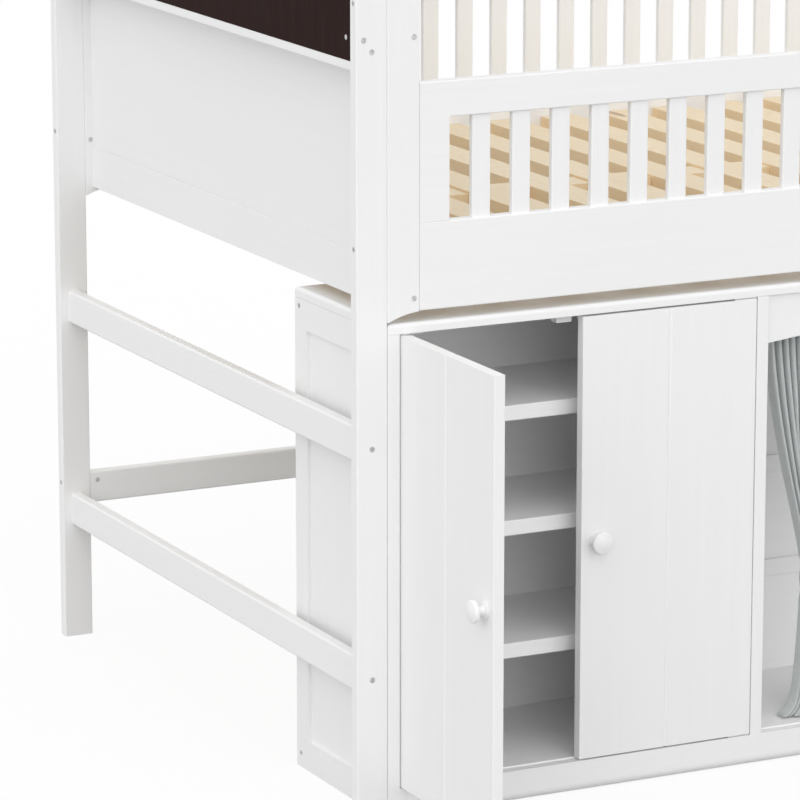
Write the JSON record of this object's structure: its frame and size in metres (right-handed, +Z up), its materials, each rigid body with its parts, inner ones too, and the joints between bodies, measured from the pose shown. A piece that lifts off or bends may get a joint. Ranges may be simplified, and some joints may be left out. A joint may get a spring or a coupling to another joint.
{
  "type": "loft bed",
  "caption": "Mid-height loft bed with slatted guards, a chalkboard headboard, a foot-end ladder and a cabinet with hinged doors and tied-back curtains under the deck.",
  "frame": {"origin": "on the floor, under the middle of the box that holds the bed with its left door open", "axes": "+X from the head end to the foot end, +Y from the cabinet's front to the rear, +Z up"},
  "size_m": [2.108, 1.846, 1.88],
  "materials": {
    "white_paint": "satin paint",
    "pine": "bare planed pine",
    "chalkboard_black": "matt dark veneer",
    "steel": "zinc-plated",
    "curtain_cloth": "plain woven cotton",
    "catch_plastic": "moulded"
  },
  "bodies": {
    "bed": {"post_front_left": "white_paint", "post_rear_left": "white_paint", "post_front_right": "white_paint", "post_rear_right": "white_paint", "stile_front_left": "white_paint", "stile_rear_left": "white_paint", "stile_front_right": "white_paint", "stile_rear_right": "white_paint", "stretchers_left": "white_paint", "stretchers_right": "white_paint", "rear_floor_rail": "white_paint", "side_rail_front": "white_paint", "side_rail_rear": "white_paint", "slat_ledgers": "pine", "end_ledgers": "pine", "centre_beam": "pine", "bed_slats": "pine", "guard_frame_front": "white_paint", "guard_slats_front": "white_paint", "guard_rail_rear": "white_paint", "guard_slats_rear": "white_paint", "headboard": "white_paint", "head_shelf": "white_paint", "chalkboard": "chalkboard_black", "chalkboard_cleat": "white_paint", "book_rail": "white_paint", "head_top_board": "white_paint", "foot_rail": "white_paint", "foot_guard_rails": "white_paint", "foot_guard_slats": "white_paint", "ladder_uprights": "white_paint", "ladder_rungs": "white_paint", "cabinet_plinth": "white_paint", "cabinet_floor": "white_paint", "cabinet_top": "white_paint", "side_frame_left": "white_paint", "side_frame_right": "white_paint", "side_panels": "white_paint", "cabinet_divider": "white_paint", "back_frame": "white_paint", "back_panels": "white_paint", "shelf_lower": "white_paint", "shelf_middle": "white_paint", "shelf_upper": "white_paint", "valance": "white_paint", "curtain_rod": "steel", "rod_sockets": "steel", "curtain_left": "curtain_cloth", "curtain_right": "curtain_cloth", "tiebacks": "curtain_cloth", "hinge_plates": "steel", "door_catches": "catch_plastic", "frame_bolts": "steel"},
    "left_door": {"door_left": "white_paint", "knob_left": "white_paint", "door_fittings_left": "steel"},
    "right_door": {"door_right": "white_paint", "knob_right": "white_paint", "door_fittings_right": "steel"}
  },
  "joints": [
    {"name": "left_door_hinge", "type": "hinge", "parent": "bed", "child": "left_door", "pos_m": [-0.9607, -0.546, 0], "axis": [0, 0, 1], "range_deg": [-15, 90]},
    {"name": "right_door_hinge", "type": "hinge", "parent": "bed", "child": "right_door", "pos_m": [-0.2027, -0.546, 0], "axis": [0, 0, 1], "range_deg": [0, 105]}
  ]
}
